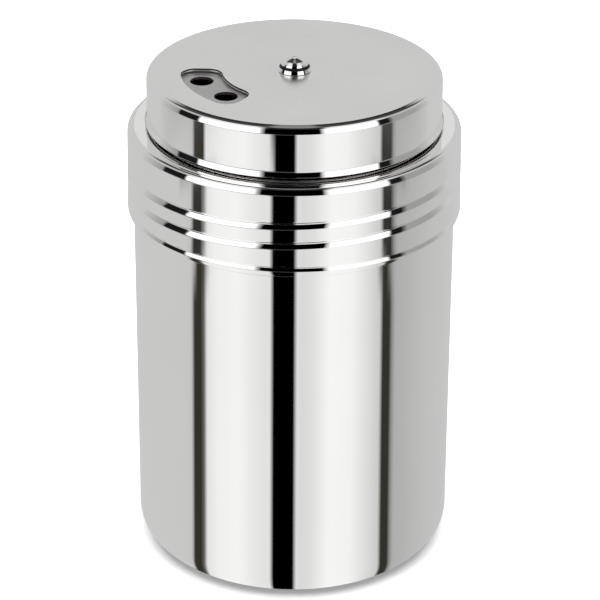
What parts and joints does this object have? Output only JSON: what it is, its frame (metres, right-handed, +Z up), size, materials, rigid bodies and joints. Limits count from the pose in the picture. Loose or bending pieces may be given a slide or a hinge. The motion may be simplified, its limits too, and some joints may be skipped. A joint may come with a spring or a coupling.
{
  "type": "spice shaker tin",
  "caption": "Round polished steel spice shaker: a drawn can, a screw-on sifter lid and a riveted dial cap whose window turns over the shaking holes.",
  "frame": {"origin": "on the can's axis, at the plane that the can stands on", "axes": "+Z up along the can's axis, -Y towards the viewer, the dial's window on the -X side"},
  "size_m": [0.052, 0.052, 0.0821],
  "materials": {
    "can_steel": "mirror polished stainless steel outside, duller drawn steel inside",
    "lid_steel": "mirror polished stainless steel with rolled rings",
    "dial_steel": "polished stainless steel, fine satin on the flat top",
    "rivet_steel": "polished stainless steel",
    "spring_steel": "plain rolled stainless spring steel",
    "nylon": "natural nylon",
    "seal": "soft white food-safe polyethylene"
  },
  "bodies": {
    "can": {"can_body": "can_steel"},
    "seal": {"seal_ring": "seal"},
    "lid": {"lid_shell": "lid_steel", "pivot_rivet": "rivet_steel", "glide_washer": "nylon", "spring_washer": "spring_steel", "backing_washer": "rivet_steel"},
    "dial": {"dial_cap": "dial_steel"}
  },
  "joints": [
    {"name": "lid_lift", "type": "slide", "parent": "can", "child": "seal", "axis": [0, 0, 1], "range_m": [0, 0.0056]},
    {"name": "lid_turn", "type": "hinge", "parent": "seal", "child": "lid", "pos_m": [0, 0, 0.0715], "axis": [0, 0, 1], "range_deg": [0, 630]},
    {"name": "dial_turn", "type": "hinge", "parent": "lid", "child": "dial", "pos_m": [0, 0, 0.08], "axis": [0, 0, 1], "continuous": true}
  ],
  "couplings": [
    {"joint": "lid_lift", "follows": "lid_turn", "m_per_rad": 0.00050929}
  ]
}
